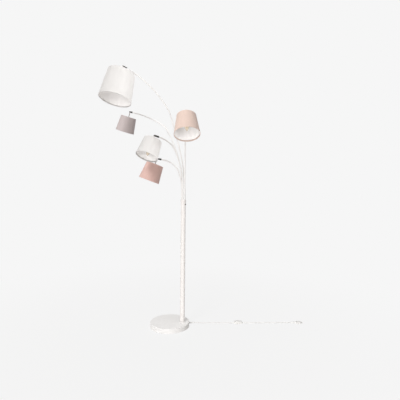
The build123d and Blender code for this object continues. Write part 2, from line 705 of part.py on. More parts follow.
for name, route in [("cord_to_switch", BASE_ROUTE), ("cord_to_plug", PLUG_ROUTE)]:
    with BuildLine() as cord_line:
        FilletPolyline(*route, radius=bend_radii(route))
    cord_path = cord_line.wires()[0]
    with BuildPart() as cord:
        with BuildSketch(Plane(origin=cord_path @ 0, z_dir=cord_path % 0)):
            Circle(CORD_RADIUS)
        sweep(path=cord_path)
    section_volume = math.pi * CORD_RADIUS**2 * cord_path.length
    print(name, "length", round(cord_path.length, 1), "radii", [round(r) for r in bend_radii(route)])
    print(name, "volume", round(cord.part.volume), "section times length", round(section_volume))
    save(cord, name)

# The in-line foot switch: a low rounded body with a well for its button.
with BuildPart() as switch_body:
    with BuildSketch(switch_plane):
        RectangleRounded(SWITCH_LENGTH, SWITCH_WIDTH, SWITCH_CORNER)
    extrude(amount=SWITCH_HEIGHT)
    fillet(switch_body.faces().sort_by(Axis.Z)[-1].edges(), SWITCH_EDGE)
    with BuildSketch(switch_plane.offset(WELL_FLOOR)):
        RectangleRounded(BUTTON_LENGTH, BUTTON_WIDTH, BUTTON_CORNER)
    extrude(amount=SWITCH_HEIGHT, mode=Mode.SUBTRACT)
save(switch_body, "switch_body")

with BuildPart() as switch_button:
    with BuildSketch(switch_plane.offset(BUTTON_BOTTOM)):
        RectangleRounded(
            BUTTON_LENGTH - 2 * BUTTON_GAP,
            BUTTON_WIDTH - 2 * BUTTON_GAP,
            BUTTON_CORNER - BUTTON_GAP,
        )
    extrude(amount=BUTTON_TOP - BUTTON_BOTTOM)
    fillet(switch_button.faces().sort_by(Axis.Z)[-1].edges(), BUTTON_EDGE)
save(switch_button, "switch_button")

# The flat plug, lying on its side: a tapered boot, a rounded body and two round pins.
plug_back = Plane(origin=plug_entry, x_dir=cord_way.cross(UP), z_dir=cord_way)
with BuildPart() as plug_body:
    with BuildSketch(plug_back):
        Circle(PLUG_BOOT_RADIUS)
    with BuildSketch(plug_back.offset(PLUG_BOOT_LENGTH)):
        Circle(PLUG_CORNER)
    loft()
    with BuildSketch(plug_back.offset(PLUG_BOOT_LENGTH)):
        RectangleRounded(PLUG_WIDTH, PLUG_HEIGHT, PLUG_CORNER)
    extrude(amount=PLUG_LENGTH)
save(plug_body, "plug_body")

with BuildPart() as plug_pins:
    with BuildSketch(plug_back.offset(PLUG_BOOT_LENGTH + PLUG_LENGTH)):
        with GridLocations(PIN_SPACING, 0, 2, 1):
            Circle(PIN_RADIUS)
    extrude(amount=PIN_LENGTH)
    fillet(plug_pins.faces().sort_by(Axis.X)[-2:].edges(), PIN_RADIUS / 2)
save(plug_pins, "plug_pins")
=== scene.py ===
# %% [markdown]
# # A tree floor lamp
# A round weighted base, a straight pole, and five bent arms that fan out of the pole's top. Each arm
# carries a fabric drum shade on a small tilting joint. The hard parts come ready made from the packed
# frame, at their real size. This lesson gives them their finishes, makes the cord and the shades again
# as finer meshes, and adds what repeats, such as ribs, rings and screw threads, with Geometry Nodes.

import json
import math

import bmesh
import bpy
from mathutils import Matrix, Vector

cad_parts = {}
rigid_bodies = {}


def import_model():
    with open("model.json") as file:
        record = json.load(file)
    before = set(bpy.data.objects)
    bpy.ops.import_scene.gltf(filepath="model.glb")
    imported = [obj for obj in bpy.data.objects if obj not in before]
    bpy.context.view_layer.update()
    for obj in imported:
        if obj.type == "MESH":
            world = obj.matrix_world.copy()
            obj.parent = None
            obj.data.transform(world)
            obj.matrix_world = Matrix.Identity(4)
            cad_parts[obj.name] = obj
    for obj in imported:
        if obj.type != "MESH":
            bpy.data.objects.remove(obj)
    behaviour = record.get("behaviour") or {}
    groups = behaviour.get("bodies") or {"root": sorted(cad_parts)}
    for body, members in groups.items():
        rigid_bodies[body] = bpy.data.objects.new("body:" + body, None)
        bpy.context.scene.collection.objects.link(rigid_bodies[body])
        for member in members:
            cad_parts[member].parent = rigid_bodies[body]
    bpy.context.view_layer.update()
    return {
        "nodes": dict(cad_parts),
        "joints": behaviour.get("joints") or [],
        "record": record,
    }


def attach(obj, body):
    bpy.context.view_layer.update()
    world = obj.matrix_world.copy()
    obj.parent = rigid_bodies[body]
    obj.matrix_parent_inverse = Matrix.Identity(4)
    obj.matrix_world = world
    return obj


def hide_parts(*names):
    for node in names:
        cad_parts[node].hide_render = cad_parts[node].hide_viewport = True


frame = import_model()
nodes = frame["nodes"]
slot_of_node = {part["node"]: part["material_slot"] for part in frame["record"]["subparts"]}
joint_named = {joint["name"]: joint for joint in frame["joints"]}
scene = bpy.context.scene
MM = 0.001
UP = Vector((0, 0, 1))

# %% [markdown]
# ## The camera
# The picture was taken level, from about the height of the lamp's middle, with a lens that sees about
# 65 degrees. The focal length is known in pixels of a 400 pixel picture, so the lens follows from the
# sensor's width. The camera leans by half a degree, and its roll is a turn about its own view, +Y.

# %% Camera
PHOTO_WIDTH = 400
FOCAL_PIXELS = 312
SENSOR_WIDTH = 36.0
CAMERA_PLACE = Vector((0.2255, -2.415, 0.976))
CAMERA_ROLL = math.radians(-0.5)

camera_data = bpy.data.cameras.new("room_camera")
camera_data.sensor_width = SENSOR_WIDTH
camera_data.lens = SENSOR_WIDTH * FOCAL_PIXELS / PHOTO_WIDTH
camera = bpy.data.objects.new("room_camera", camera_data)
camera.location = CAMERA_PLACE
camera.rotation_euler = (math.pi / 2, CAMERA_ROLL, 0)
scene.collection.objects.link(camera)
scene.camera = camera
print("lens", round(camera_data.lens, 2), "mm")

# %% [markdown]
# ## The cord
# A white round mains lead, 7 mm thick. It leaves the base through a rubber boot, comes down to the
# floor, runs straight to a foot switch and on to its flat plug. A cord is one smooth line, so it is a
# NURBS spline with a round bevel, and its control points are the route's corners.

# %% Cord
CORD_RADIUS = 3.5 * MM
ROUTE_TO_SWITCH = [
    (0.17465, 0.04355, 0.0110),
    (0.19406, 0.04838, 0.0110),
    (0.22050, 0.05360, 0.0073),
    (0.25200, 0.05620, 0.0035),
    (0.50471, 0.06191, 0.0035),
]
ROUTE_TO_PLUG = [
    (0.56669, 0.06329, 0.0035),
    (0.91800, 0.07120, 0.0035),
    (0.94300, 0.07170, 0.0059),
    (0.96100, 0.07212, 0.00685),
    (0.97800, 0.07250, 0.00685),
]


def round_cord(name, route):
    curve = bpy.data.curves.new(name, "CURVE")
    curve.dimensions = "3D"
    spline = curve.splines.new("NURBS")
    spline.points.add(len(route) - 1)
    for point, place in zip(spline.points, route):
        point.co = (*place, 1)
    spline.order_u = 3
    spline.use_endpoint_u = True
    spline.resolution_u = 32
    curve.bevel_depth = CORD_RADIUS
    curve.bevel_resolution = 6
    curve.use_fill_caps = True
    piece = bpy.data.objects.new(name, curve)
    scene.collection.objects.link(piece)
    print(name, "has", len(route), "control points")
    return piece


lead_to_switch = round_cord("lead_to_switch", ROUTE_TO_SWITCH)
lead_to_plug = round_cord("lead_to_plug", ROUTE_TO_PLUG)

# %% [markdown]
# ## Helpers for nodes
# Both shaders and Geometry Nodes are trees of nodes. One short helper adds a node, sets its options and
# fills its inputs: a socket is linked, and anything else is set as the input's value.


# %% Node helper
def add(tree, kind, inputs=None, **options):
    node = tree.nodes.new(kind)
    for option, value in options.items():
        setattr(node, option, value)
    for key, value in (inputs or {}).items():
        if isinstance(value, bpy.types.NodeSocket):
            tree.links.new(value, node.inputs[key])
        else:
            node.inputs[key].default_value = value
    return node


def math_node(tree, operation, first, second=0.0):
    return add(tree, "ShaderNodeMath", {0: first, 1: second}, operation=operation).outputs[0]


# %% [markdown]
# ## Finishes: paint, plastic and metal
# A finish starts as one Principled shader with its plain values on its own sockets. Real paint and
# moulded plastic are never quite even, so a soft noise moves the colour a little, a finer one moves the
# roughness, and a third, finer still, is the surface's grain as bump. All read Object coordinates, which
# stay with the part when a joint moves it.


# %% Plain finishes
def finish(name, colour, roughness, metallic=0.0, specular=0.5):
    material = bpy.data.materials.new(name)
    material.use_nodes = True
    shader = material.node_tree.nodes["Principled BSDF"]
    shader.inputs["Base Color"].default_value = (*colour, 1)
    shader.inputs["Roughness"].default_value = roughness
    shader.inputs["Metallic"].default_value = metallic
    shader.inputs["Specular IOR Level"].default_value = specular
    return material


def noise(tree, coordinate, per_metre, detail=2.0, stretch=(1, 1, 1)):
    mapping = add(tree, "ShaderNodeMapping", {"Vector": coordinate, "Scale": stretch})
    return add(
        tree,
        "ShaderNodeTexNoise",
        {"Vector": mapping.outputs["Vector"], "Scale": per_metre, "Detail": detail},
    ).outputs["Fac"]


def even_out(tree, value, low, high):
    """Noise stays between about 0.3 and 0.7, so that span is spread over low to high."""
    return add(
        tree,
        "ShaderNodeMapRange",
        {"Value": value, "From Min": 0.3, "From Max": 0.7, "To Min": low, "To Max": high},
    ).outputs["Result"]


def tint(tree, colour, share, shade):
    """The colour, darkened towards a share of itself where shade is 1."""
    darker = [channel * share for channel in colour]
    mix = add(tree, "ShaderNodeMix", {"Factor": shade}, data_type="RGBA")
    mix.inputs[6].default_value = (*colour, 1)
    mix.inputs[7].default_value = (*darker, 1)
    return mix.outputs[2]


def worked(material, colour, mottle, grain, grain_depth, rough_low, rough_high, stretch=(1, 1, 1)):
    """Adds uneven colour, uneven roughness and a fine grain to a finish."""
    tree = material.node_tree
    shader = tree.nodes["Principled BSDF"]
    place = add(tree, "ShaderNodeTexCoord").outputs["Object"]
    patches = even_out(tree, noise(tree, place, 9.0, 3.0), 0.0, 1.0)
    tree.links.new(tint(tree, colour, 1 - mottle, patches), shader.inputs["Base Color"])
    smears = even_out(tree, noise(tree, place, 40.0, 4.0, stretch), rough_low, rough_high)
    tree.links.new(smears, shader.inputs["Roughness"])
    fine = noise(tree, place, grain, 2.0, stretch)
    bump = add(tree, "ShaderNodeBump", {"Height": fine, "Distance": grain_depth, "Strength": 1.0})
    tree.links.new(bump.outputs["Normal"], shader.inputs["Normal"])
    return material


def painted(name, colour, roughness=0.42, mottle=0.03):
    """Powder coat: satin, with the faint orange peel of melted powder."""
    material = finish(name, colour, roughness, specular=0.45)
    return worked(material, colour, mottle, 900.0, 0.00006, roughness - 0.05, roughness + 0.07)


def moulded(name, colour, roughness=0.35, mottle=0.02):
    """Moulded plastic: a fine spark-eroded grain."""
    material = finish(name, colour, roughness, specular=0.5)
    return worked(material, colour, mottle, 2600.0, 0.00003, roughness - 0.06, roughness + 0.08)


def plated(name, colour, roughness=0.28, stretch=(1, 1, 1)):
    """Plated metal, with drawn lines where stretch is uneven."""
    material = finish(name, colour, roughness, metallic=1.0)
    return worked(material, colour, 0.06, 700.0, 0.00002, roughness - 0.06, roughness + 0.10, stretch)


base_paint = painted("base_powder_coat", (0.84, 0.835, 0.83), 0.40)
pole_paint = painted("pole_powder_coat", (0.88, 0.855, 0.84), 0.38)
arm_paint = painted("arm_powder_coat", (0.86, 0.85, 0.84), 0.45)
stem_paint = painted("stem_grey_paint", (0.50, 0.45, 0.43), 0.40)
joint_black = moulded("joint_black_plastic", (0.030, 0.027, 0.026), 0.52)
screw_steel = plated("joint_dark_steel", (0.26, 0.25, 0.24), 0.34)
# The hub's lock screw: brown-black, partly its own colour and partly a painted shade under the hub's collar.
lock_black_and_painted_shade = painted("blackened_screw_and_painted_shade", (0.055, 0.035, 0.028), 0.40, 0.1)
holder_white = moulded("lampholder_white", (0.83, 0.82, 0.80), 0.33)
wire_white = painted("carrier_white_coat", (0.84, 0.83, 0.82), 0.35)
zinc_sheet = plated("zinc_sheet", (0.62, 0.62, 0.63), 0.36, (6, 1, 1))
zinc_bolt = plated("zinc_bolt", (0.70, 0.70, 0.71), 0.30)
IRON = (0.11, 0.11, 0.115)
cast_iron = worked(finish("cast_iron_weight", IRON, 0.75), IRON, 0.25, 260.0, 0.0006, 0.62, 0.85)
terminal_pale = moulded("terminal_pale_plastic", (0.78, 0.78, 0.74), 0.30)
sheath_white = moulded("cord_white_sheath", (0.85, 0.85, 0.84), 0.42)
switch_white = moulded("switch_white_plastic", (0.86, 0.86, 0.85), 0.27)
pin_nickel = plated("nickel_pins", (0.66, 0.63, 0.58), 0.22)
print(len(bpy.data.materials), "plain finishes")

# %% [markdown]
# ## Finishes: felt
# The pad under the base is pressed felt: dark, matt and hairy. Short fibres come from two noises that
# are stretched across each other. Where they lie low the colour is darker, partly the fibres' own tone
# and partly a painted shade in the hollows.


# %% Felt
def felted(name, colour):
    material = finish(name, colour, 0.95, specular=0.2)
    tree = material.node_tree
    shader = tree.nodes["Principled BSDF"]
    shader.inputs["Sheen Weight"].default_value = 0.4
    shader.inputs["Sheen Roughness"].default_value = 0.6
    place = add(tree, "ShaderNodeTexCoord").outputs["Object"]
    along = noise(tree, place, 220.0, 3.0, (6, 1, 1))
    across = noise(tree, place, 220.0, 3.0, (1, 6, 1))
    fibres = math_node(tree, "MAXIMUM", along, across)
    # Darker where the fibres lie low: partly fibre tone, partly painted shade in the hollows.
    shade = even_out(tree, fibres, 1.0, 0.0)
    tree.links.new(tint(tree, colour, 0.55, shade), shader.inputs["Base Color"])
    bump = add(tree, "ShaderNodeBump", {"Height": fibres, "Distance": 0.0006, "Strength": 1.0})
    tree.links.new(bump.outputs["Normal"], shader.inputs["Normal"])
    return material


dark_felt = felted("pad_dark_felt", (0.06, 0.06, 0.062))
print("felt ready")

# %% [markdown]
# ## Finishes: woven fabric
# Each shade is covered in a plain weave of cotton and linen. A weave is two rows of threads that pass
# over and under each other, so it follows the cloth and not the room: it reads the shade's own UV map,
# which is laid out in metres. A thread's height is half a sine wave across it, and a chequer of the two
# directions says which thread is on top. Long soft noises along each direction are the slubs, the
# thicker stretches of yarn that give linen its stripy look. The low spaces between threads are painted
# darker, a painted shade in the weave's hollows. A little sheen is the fuzz of the fibres.

# %% Fabric
THREAD_PITCH = 0.0011
SLUB_LENGTH = 26.0
WEAVE_DEPTH = 0.0004


def thread_rows(tree, distance):
    """Rounded threads side by side: the sine of the distance across them, from 0 to 1."""
    turns = math_node(tree, "MULTIPLY", distance, math.pi / THREAD_PITCH)
    return math_node(tree, "ABSOLUTE", math_node(tree, "SINE", turns))


def thread_number(tree, distance):
    return math_node(tree, "FLOOR", math_node(tree, "DIVIDE", distance, THREAD_PITCH))


# The darkening share sets how far both the slubs' tone and the painted shade between threads darken the
# colour.
def woven(name, colour, sheen=0.25, slub_tone_and_gap_shade=0.08):
    material = finish(name, colour, 0.62, specular=0.9)
    tree = material.node_tree
    shader = tree.nodes["Principled BSDF"]
    shader.inputs["Sheen Weight"].default_value = sheen
    shader.inputs["Sheen Roughness"].default_value = 0.45
    uv = add(tree, "ShaderNodeUVMap", uv_map="UVMap").outputs["UV"]
    split = add(tree, "ShaderNodeSeparateXYZ", {"Vector": uv})
    around, down = split.outputs["X"], split.outputs["Y"]
    both = math_node(tree, "ADD", thread_number(tree, around), thread_number(tree, down))
    over = math_node(tree, "PINGPONG", both, 1.0)
    under = math_node(tree, "SUBTRACT", 1.0, over)
    warp = math_node(tree, "MULTIPLY", thread_rows(tree, around), math_node(tree, "ADD", over, 0.55))
    weft = math_node(tree, "MULTIPLY", thread_rows(tree, down), math_node(tree, "ADD", under, 0.55))
    height = math_node(tree, "MAXIMUM", warp, weft)
    slubs_down = noise(tree, uv, 1.0, 2.0, (900, SLUB_LENGTH, 1))
    slubs_around = noise(tree, uv, 1.0, 2.0, (SLUB_LENGTH, 900, 1))
    slubs = math_node(tree, "MULTIPLY", math_node(tree, "ADD", slubs_down, slubs_around), 0.5)
    # Painted shade: the low spaces between threads are coloured darker, as if shade fell into them.
    painted_gap_shade = math_node(tree, "MULTIPLY", math_node(tree, "SUBTRACT", 1.2, height), 0.45)
    shade = math_node(tree, "ADD", even_out(tree, slubs, 0.0, 0.8), painted_gap_shade)
    tree.links.new(tint(tree, colour, 1 - slub_tone_and_gap_shade * 2, shade), shader.inputs["Base Color"])
    relief = math_node(tree, "ADD", height, math_node(tree, "MULTIPLY", slubs, 1.5))
    bump = add(tree, "ShaderNodeBump", {"Height": relief, "Distance": WEAVE_DEPTH, "Strength": 0.7})
    tree.links.new(bump.outputs["Normal"], shader.inputs["Normal"])
    return material


pink_fabric = woven("fabric_dusty_pink", (0.80, 0.53, 0.47))
grey_fabric = woven("fabric_warm_grey", (0.60, 0.52, 0.515))
beige_fabric = woven("fabric_warm_beige", (0.90, 0.70, 0.61))
white_fabric = woven("fabric_off_white", (0.735, 0.725, 0.715), slub_tone_and_gap_shade=0.02)
print("four fabrics, threads", THREAD_PITCH / MM, "mm apart")

# %% [markdown]
# ## Finishes: the liner and the lamp's glass
# Inside, each shade has a smooth white sheet that spreads the light. The candle lamps have a thin glass
# with a warm coat, which is the glass's own colour on a shader that lets light through.


# %% Liner and glass
def liner_sheet(name, colour):
    return worked(finish(name, colour, 0.5), colour, 0.02, 1500.0, 0.00002, 0.42, 0.6)


def coated_glass(name, colour):
    material = finish(name, colour, 0.03)
    tree = material.node_tree
    shader = tree.nodes["Principled BSDF"]
    shader.inputs["Transmission Weight"].default_value = 1.0
    shader.inputs["IOR"].default_value = 1.45
    place = add(tree, "ShaderNodeTexCoord").outputs["Object"]
    waves = noise(tree, place, 60.0, 1.0)
    bump = add(tree, "ShaderNodeBump", {"Height": waves, "Distance": 0.0002, "Strength": 0.4})
    tree.links.new(bump.outputs["Normal"], shader.inputs["Normal"])
    return material


white_liner = liner_sheet("liner_white_sheet", (0.93, 0.92, 0.915))
amber_glass = coated_glass("lamp_warm_glass", (0.985, 0.93, 0.84))
filament_pale = moulded("filament_pale_yellow", (0.82, 0.62, 0.28), 0.5)
print(len(bpy.data.materials), "finishes in all")

# %% [markdown]
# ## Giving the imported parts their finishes
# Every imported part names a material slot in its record, so one table from slot to finish serves all of
# them. The parts' own meshes are left alone.

# %% Finish of each slot
FINISH_OF_SLOT = {
    "base_paint": base_paint,
    "pole_paint": pole_paint,
    "arm_paint": arm_paint,
    "stem_paint": stem_paint,
    "joint_black": joint_black,
    "joint_screw": screw_steel,
    "lock_screw_black": lock_black_and_painted_shade,
    "holder_plastic": holder_white,
    "wire_paint": wire_white,
    "pink_fabric": pink_fabric,
    "white_fabric": white_fabric,
    "grey_fabric": grey_fabric,
    "beige_fabric": beige_fabric,
    "bulb_glass": amber_glass,
    "plate_steel": zinc_sheet,
    "bright_steel": zinc_bolt,
    "weight_iron": cast_iron,
    "pad_felt": dark_felt,
    "terminal_plastic": terminal_pale,
    "cord_white": sheath_white,
    "switch_plastic": switch_white,
    "pin_nickel": pin_nickel,
}

for name, part in nodes.items():
    part.data.materials.clear()
    part.data.materials.append(FINISH_OF_SLOT[slot_of_node[name]])
for lead in (lead_to_switch, lead_to_plug):
    lead.data.materials.append(sheath_white)
print("finishes on", len(nodes), "packed parts")


# %% [markdown]
# ## Helpers for pieces
# A piece is made about its own axis, in millimetres or metres, then its mesh is moved to its place, so
# that its object stays at the origin, unturned. A place is a matrix made from a point and two of its
# axes. `settle` says which body a piece moves with, and hides the imported parts that it replaces.


# %% Places and pieces
def place_at(origin, x_axis, z_axis):
    """A matrix whose local Z is z_axis and whose local X lies as near x_axis as it can."""
    z = Vector(z_axis).normalized()
    y = z.cross(Vector(x_axis)).normalized()
    x = y.cross(z)
    matrix = Matrix((x, y, z)).transposed().to_4x4()
    matrix.translation = Vector(origin)
    return matrix


def piece_from(name, mesh, material):
    mesh.materials.clear()
    mesh.materials.append(material)
    piece = bpy.data.objects.new(name, mesh)
    scene.collection.objects.link(piece)
    return piece


def settle(piece, body, slot, *replaced):
    if replaced:
        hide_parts(*replaced)
    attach(piece, body)
    return piece


# %% [markdown]
# ## Turned pieces
# Shades, liners, glasses and caps are all turned: one closed outline of (radius, depth) points goes
# round an axis. `turned` makes the rings by hand and not with the Screw modifier, because it can lay the
# UV map out in metres as it goes, once round by the outline's length, which is what a weave needs. An
# outline point on the axis becomes one vertex, so the pole is closed.


# %% Turned mesh
def turned(name, outline, segments, matrix, material, closed=False):
    mesh_maker = bmesh.new()
    uv_layer = mesh_maker.loops.layers.uv.new("UVMap")
    rings = []
    for radius, depth in outline:
        if radius == 0:
            rings.append([mesh_maker.verts.new((0, 0, depth * MM))] * segments)
            continue
        angles = [2 * math.pi * k / segments for k in range(segments)]
        circle = [(radius * MM * math.cos(a), radius * MM * math.sin(a), depth * MM) for a in angles]
        rings.append([mesh_maker.verts.new(point) for point in circle])
    steps = [math.dist(a, b) * MM for a, b in zip(outline, outline[1:] + outline[:1])]
    run = [sum(steps[:k]) for k in range(len(steps) + 1)]
    around = 2 * math.pi * max(radius for radius, _ in outline) * MM / segments
    last = len(outline) if closed else len(outline) - 1
    for i in range(last):
        upper, lower = rings[i], rings[(i + 1) % len(rings)]
        for k in range(segments):
            n = (k + 1) % segments
            above = [(upper[k], k, i), (upper[n], k + 1, i)]
            corners = above + [(lower[n], k + 1, i + 1), (lower[k], k, i + 1)]
            kept = [c for j, c in enumerate(corners) if c[0] not in [d[0] for d in corners[:j]]]
            if len(kept) < 3:
                continue
            face = mesh_maker.faces.new([vertex for vertex, _, _ in kept])
            face.smooth = True
            for loop, (_, column, row) in zip(face.loops, kept):
                loop[uv_layer].uv = (column * around, run[row])
    bmesh.ops.recalc_face_normals(mesh_maker, faces=mesh_maker.faces)
    mesh = bpy.data.meshes.new(name)
    mesh_maker.to_mesh(mesh)
    mesh_maker.free()
    mesh.transform(matrix)
    return piece_from(name, mesh, material)


def thickened(path, thickness):
    """A closed outline: the path, moved half the thickness to each side."""
    left, right = [], []
    for k, point in enumerate(path):
        before, after = path[max(k - 1, 0)], path[min(k + 1, len(path) - 1)]
        way = Vector((after[0] - before[0], after[1] - before[1])).normalized()
        side = Vector((way.y, -way.x)) * thickness / 2
        left.append((point[0] + side.x, point[1] + side.y))
        right.append((point[0] - side.x, point[1] - side.y))
    return left + right[::-1]


# %% [markdown]
# ## The lamps
# The five heads are alike apart from their sizes and the way they point, so they come from one table.
# Headings are in degrees, from the left turning towards the front. Every arm's bends lie in one upright
# plane, so its end points `arm_turn` degrees from straight up. The shade's axis points down, tipped
# towards its own heading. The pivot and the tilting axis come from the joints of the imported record.

# %% The table of lamps
LARGE = (123.0, 104.0, 218.0)  # radius of the opening, radius of the top, height
MEDIUM = (91.0, 69.0, 148.0)
SMALL = (80.5, 66.0, 131.0)
LAMPS = [
    # name, arm heading, arm turn, shade heading, shade tilt, stem length, shade, fabric
    ("pink", 0.0, 80.5, -2.0, 20.5, 46, SMALL, pink_fabric),
    ("white", 37.0, 81.0, 48.5, 23.8, 42, SMALL, white_fabric),
    ("grey", -33.5, 73.0, -31.0, 20.3, 46, SMALL, grey_fabric),
    ("beige", 94.3, 72.0, 99.0, 22.0, 46, MEDIUM, beige_fabric),
    ("large", 1.5, 59.0, 40.0, 13.8, 60, LARGE, white_fabric),
]


def towards(heading):
    angle = math.radians(heading)
    return Vector((-math.cos(angle), -math.sin(angle), 0))


def leaning(heading, turn, start=UP):
    angle = math.radians(turn)
    return start * math.cos(angle) + towards(heading) * math.sin(angle)


def head_places(lamp):
    """The place of a head, whose Z runs down the shade, and of its arm's end, whose Z runs out of it."""
    name, arm_heading, arm_turn, shade_heading, shade_tilt = lamp[:5]
    tilt = joint_named[f"{name}_tilt"]
    pivot, pin = Vector(tilt["pos_m"]), Vector(tilt["axis"])
    head = place_at(pivot, pin, leaning(shade_heading, shade_tilt, -UP))
    arm_end = place_at(pivot, pin, leaning(arm_heading, arm_turn))
    return head, arm_end


PLACES = {lamp[0]: head_places(lamp) for lamp in LAMPS}
for name, (head, arm_end) in PLACES.items():
    print(name, "pivot", [round(x, 3) for x in head.translation])

# %% [markdown]
# ## Fabric drums
# Each drum is one layer of cloth, laminated to the liner and rolled in over a wire at both rims. Its
# outline is a single path: a short turn inside the top rim, round the top wire, straight down the wall,
# round the bottom wire and a longer turn inside. `wall_path` works it out in the wall's own terms, the
# distance down the wall and the distance out from it, and `thickened` gives it the cloth's thickness.
# The two cloth edges meet in a narrow overlap at the back, a strip that stands a little proud.

# %% Drums
CLOTH = 0.5
RIM_WIRE = 1.2
RIM_STEPS = 8
TOP_TURN = (1.6, -2.3)  # how far down the wall the turn ends, and how far out
BOTTOM_TURN = (9.0, -1.45)
DRUM_SEGMENTS = 176


def wall_frame(shade, top):
    """Turns (distance down the wall, distance out) into (radius, depth)."""
    opening_radius, top_radius, height = shade
    slant = math.hypot(opening_radius - top_radius, height)
    down = Vector(((opening_radius - top_radius) / slant, height / slant))
    out = Vector((down.y, -down.x))

    def point(along, outwards):
        return (top_radius + down.x * along + out.x * outwards, top + down.y * along + out.y * outwards)

    return point, slant


def rim_arc(point, along, centre, start, sweep):
    """Points round a rim's wire, in the wall's terms."""
    arc = []
    for k in range(RIM_STEPS + 1):
        angle = start + sweep * k / RIM_STEPS
        arc.append(point(along + RIM_WIRE * math.sin(angle), centre + RIM_WIRE * math.cos(angle)))
    return arc


def wall_path(shade, top):
    point, slant = wall_frame(shade, top)
    face = -CLOTH / 2
    centre = face - RIM_WIRE
    path = [point(*TOP_TURN)]
    path += rim_arc(point, 0.0, centre, -math.pi, math.pi)
    path += [point(slant * k / 12, face) for k in range(1, 12)]
    path += rim_arc(point, slant, centre, 0.0, math.pi)
    path += [point(slant - BOTTOM_TURN[0] / 2, (centre - RIM_WIRE + BOTTOM_TURN[1]) / 2)]
    path += [point(slant - BOTTOM_TURN[0], BOTTOM_TURN[1])]
    return path


for name, _, _, _, _, top, shade, fabric in LAMPS:
    head, _ = PLACES[name]
    outline = thickened(wall_path(shade, top), CLOTH)
    drum = turned(f"{name}_fabric", outline, DRUM_SEGMENTS, head, fabric, closed=True)
    settle(drum, f"{name}_head", slot_of_node[f"{name}_shade"], f"{name}_shade")
    print(drum.name, len(drum.data.polygons), "faces")

# %% [markdown]
# ## Liners
# The liner is a smooth sheet against the inside of the cloth. It stops short of both rims, under the
# turned-in cloth.

# %% Liners
LINER_OUT, LINER_IN = -0.65, -1.15
LINER_TOP, LINER_BOTTOM = 1.0, 3.0

for name, _, _, _, _, top, shade, _ in LAMPS:
    head, _ = PLACES[name]
    point, slant = wall_frame(shade, top)
    low = slant - LINER_BOTTOM
    outer = [point(LINER_TOP, LINER_OUT), point(low, LINER_OUT)]
    outline = outer + [point(low, LINER_IN), point(LINER_TOP, LINER_IN)]
    liner = turned(f"{name}_liner", outline, DRUM_SEGMENTS, head, white_liner, closed=True)
    liner.data.set_sharp_from_angle(angle=math.radians(40))
    settle(liner, f"{name}_head", "holder_plastic")
    print(liner.name, "wall", round(slant), "mm")

# %% [markdown]
# ## Overlaps
# The cloth's ends overlap by 10 mm on the side away from the room. The strip is a small grid bent round
# the drum's cone and given its thickness by Solidify.

# %% Overlaps
OVERLAP_WIDTH = 10.0
OVERLAP_PROUD = 0.35
OVERLAP_COLUMNS = 6
OVERLAP_ROWS = 16


def overlap_strip(name, shade, top, head, fabric, back_angle):
    point, slant = wall_frame(shade, top)
    mesh_maker = bmesh.new()
    uv_layer = mesh_maker.loops.layers.uv.new("UVMap")
    grid = []
    for row in range(OVERLAP_ROWS + 1):
        radius, depth = point(slant * row / OVERLAP_ROWS, OVERLAP_PROUD)
        half = OVERLAP_WIDTH / radius / 2
        angles = [back_angle + half * (2 * k / OVERLAP_COLUMNS - 1) for k in range(OVERLAP_COLUMNS + 1)]
        places = [(radius * math.cos(a) * MM, radius * math.sin(a) * MM, depth * MM) for a in angles]
        grid.append([mesh_maker.verts.new(place) for place in places])
    for row in range(OVERLAP_ROWS):
        for k in range(OVERLAP_COLUMNS):
            corners = [(row, k), (row, k + 1), (row + 1, k + 1), (row + 1, k)]
            face = mesh_maker.faces.new([grid[r][c] for r, c in corners])
            for loop, (r, c) in zip(face.loops, corners):
                across = c * OVERLAP_WIDTH / OVERLAP_COLUMNS * MM
                loop[uv_layer].uv = (across, slant * r / OVERLAP_ROWS * MM)
    mesh = bpy.data.meshes.new(name)
    mesh_maker.to_mesh(mesh)
    mesh_maker.free()
    mesh.transform(head)
    strip = piece_from(name, mesh, fabric)
    strip.data.shade_smooth()
    solid = strip.modifiers.new("thickness", "SOLIDIFY")
    solid.thickness = (OVERLAP_PROUD + CLOTH / 2) * MM
    solid.offset = -1
    return strip


for name, _, _, _, _, top, shade, fabric in LAMPS:
    head, _ = PLACES[name]
    backwards = head.to_3x3().inverted() @ Vector((0.3, 1, 0))
    strip = overlap_strip(f"{name}_overlap", shade, top, head, fabric, math.atan2(backwards.y, backwards.x))
    settle(strip, f"{name}_head", slot_of_node[f"{name}_shade"])
    print(strip.name, "at", round(math.degrees(math.atan2(backwards.y, backwards.x))), "degrees")

# %% [markdown]
# ## Candle lamps
# The glass is a thin flame shape, two walls a millimetre apart at the neck and less at the tip. Its
# outline is a smooth line through a few radii, so it is sampled from a Catmull-Rom spline. Behind the
# glass stands a small mount with four pale filaments, and above it the screw cap.

# %% Glass, cap and filaments
GLASS_NECK = [(7.0, 54), (8.8, 58), (13.2, 66), (16.6, 75), (17.5, 83)]
GLASS_OUTLINE = GLASS_NECK + [(16.2, 94), (12.6, 105), (7.4, 115), (2.6, 122), (0, 124)]
GLASS_WALL = 0.8
CAP_CONTACT = [(0, 30), (4.0, 30), (4.6, 31.4), (6.2, 33)]
CAP_OUTLINE = CAP_CONTACT + [(6.5, 34), (6.5, 50), (6.95, 51), (6.95, 55), (6.2, 55.4), (0, 55.4)]
FILAMENTS = 4
FILAMENT_OUTLINE = [(0, 0), (0.7, 0.1), (0.8, 0.6), (0.8, 31.4), (0.7, 31.9), (0, 32)]
FILAMENT_START = 66.0
FILAMENT_RING = 3.4
MOUNT_OUTLINE = [(0, 55), (4.6, 55), (3.4, 60), (1.5, 64), (1.2, 80), (2.2, 84), (2.2, 86), (0, 87)]


